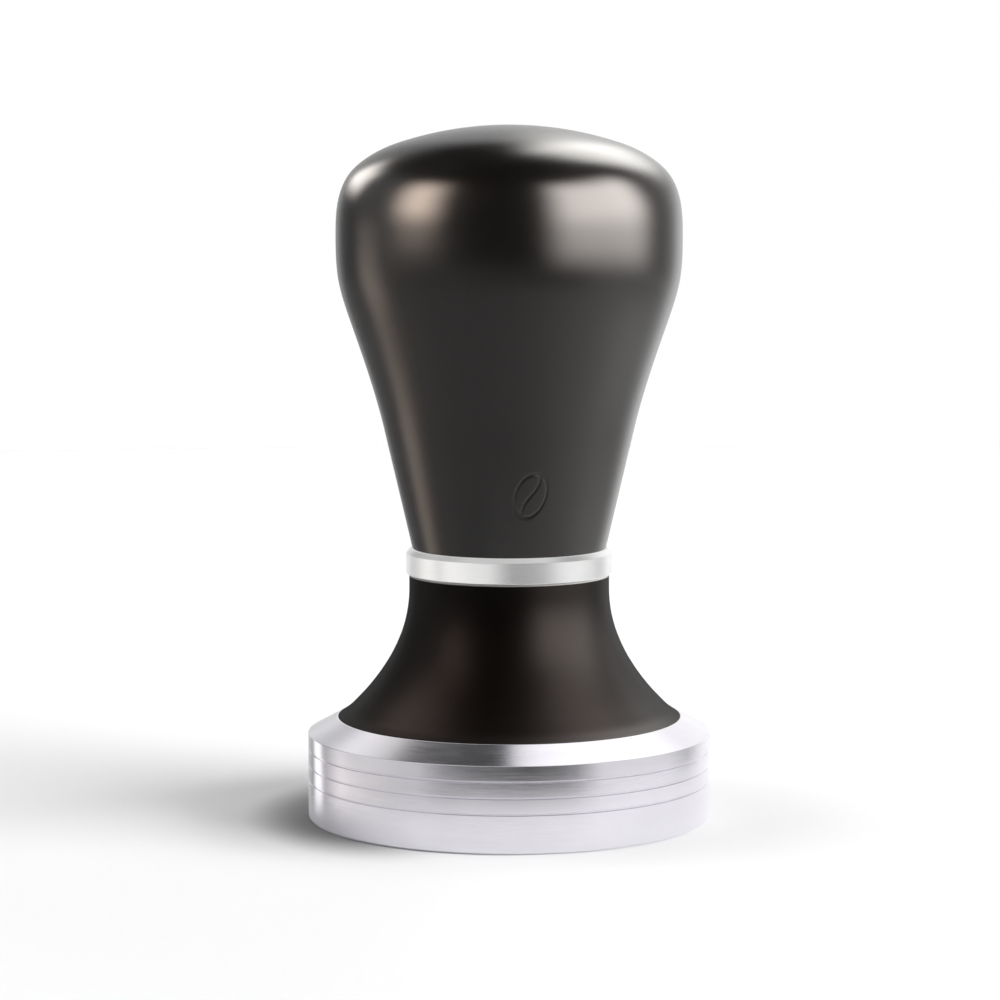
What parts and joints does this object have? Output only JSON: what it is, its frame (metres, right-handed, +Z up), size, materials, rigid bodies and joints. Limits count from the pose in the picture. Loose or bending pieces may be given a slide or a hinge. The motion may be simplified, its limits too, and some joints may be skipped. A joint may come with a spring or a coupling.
{
  "type": "espresso tamper",
  "caption": "Hand tamper: grooved steel base disc with bevelled shoulder, flared black neck, silver spacer ring and pear-shaped domed metal handle that unscrews.",
  "frame": {"origin": "centre of the base disc's underside, the tamping face", "axes": "+Z up the turned axis towards the palm dome; +X and +Y lie in the tamping face and are equivalent"},
  "size_m": [0.0584, 0.0584, 0.0999],
  "materials": {
    "stainless": "fine turned and brushed",
    "black_anodised": "satin black anodised aluminium",
    "silver_aluminium": "satin silver",
    "handle_anodised": "satin black-brown anodised aluminium",
    "stud_steel": "rolled thread, bright",
    "fastener_steel": "plain stainless",
    "seal_rubber": "matte"
  },
  "bodies": {
    "base": {"base_disc": "stainless", "base_seal": "seal_rubber", "centre_stud": "stud_steel", "neck_collar": "black_anodised", "flat_washer": "fastener_steel", "spring_washer": "fastener_steel", "clamp_nut": "fastener_steel"},
    "spacer": {"spacer_ring": "silver_aluminium", "grip_o_ring": "seal_rubber"},
    "handle": {"handle_body": "handle_anodised", "thread_insert": "stud_steel"}
  },
  "joints": [
    {"name": "handle_rise", "type": "slide", "parent": "base", "child": "spacer", "axis": [0, 0, 1], "range_m": [0, 0.015]},
    {"name": "handle_turn", "type": "hinge", "parent": "spacer", "child": "handle", "pos_m": [0, 0, 0.039], "axis": [0, 0, 1], "range_deg": [0, 4320]}
  ],
  "couplings": [
    {"joint": "handle_rise", "follows": "handle_turn", "m_per_rad": 0.00019894}
  ]
}
